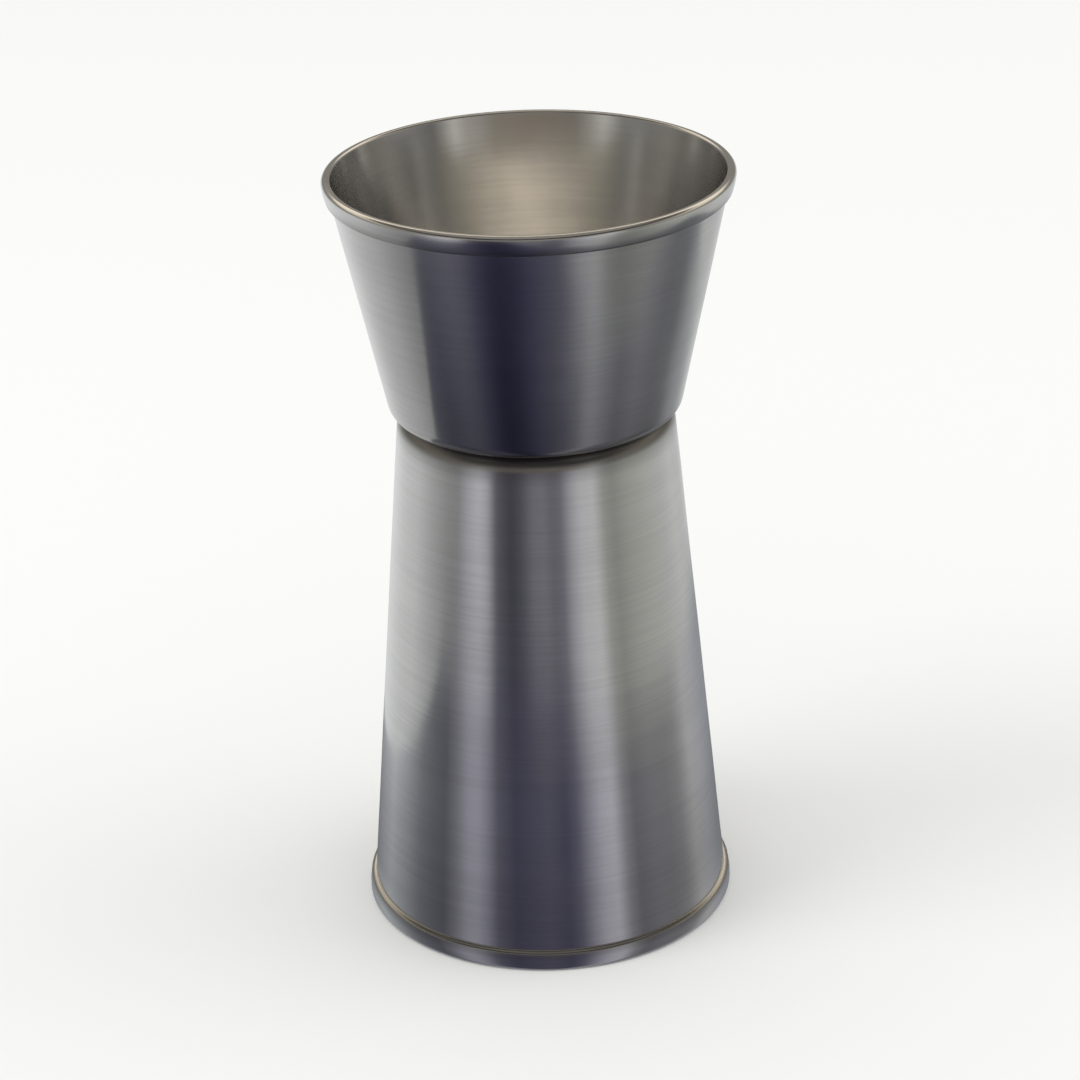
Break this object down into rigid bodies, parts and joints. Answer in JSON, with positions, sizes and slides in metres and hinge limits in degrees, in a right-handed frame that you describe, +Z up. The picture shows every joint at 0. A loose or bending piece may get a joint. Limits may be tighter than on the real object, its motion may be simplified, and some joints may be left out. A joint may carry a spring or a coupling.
{
  "type": "bar jigger",
  "caption": "Double-ended steel spirit measure: a small flared cup joined floor to floor to a taller upturned cup, with a hemmed lip at each mouth.",
  "frame": {"origin": "centre of the circle that the large cup's mouth stands on", "axes": "+Z up the jigger's axis, towards the small cup's mouth; the weld on +Y is weld_nugget_1"},
  "size_m": [0.0424, 0.0424, 0.0832],
  "materials": {
    "polished_steel": "satin polish, lapped round the axis",
    "weld_steel": "as cast"
  },
  "bodies": {
    "root": {"upper_cup": "polished_steel", "lower_cup": "polished_steel", "weld_nugget_1": "weld_steel", "weld_nugget_2": "weld_steel", "weld_nugget_3": "weld_steel"}
  },
  "joints": []
}
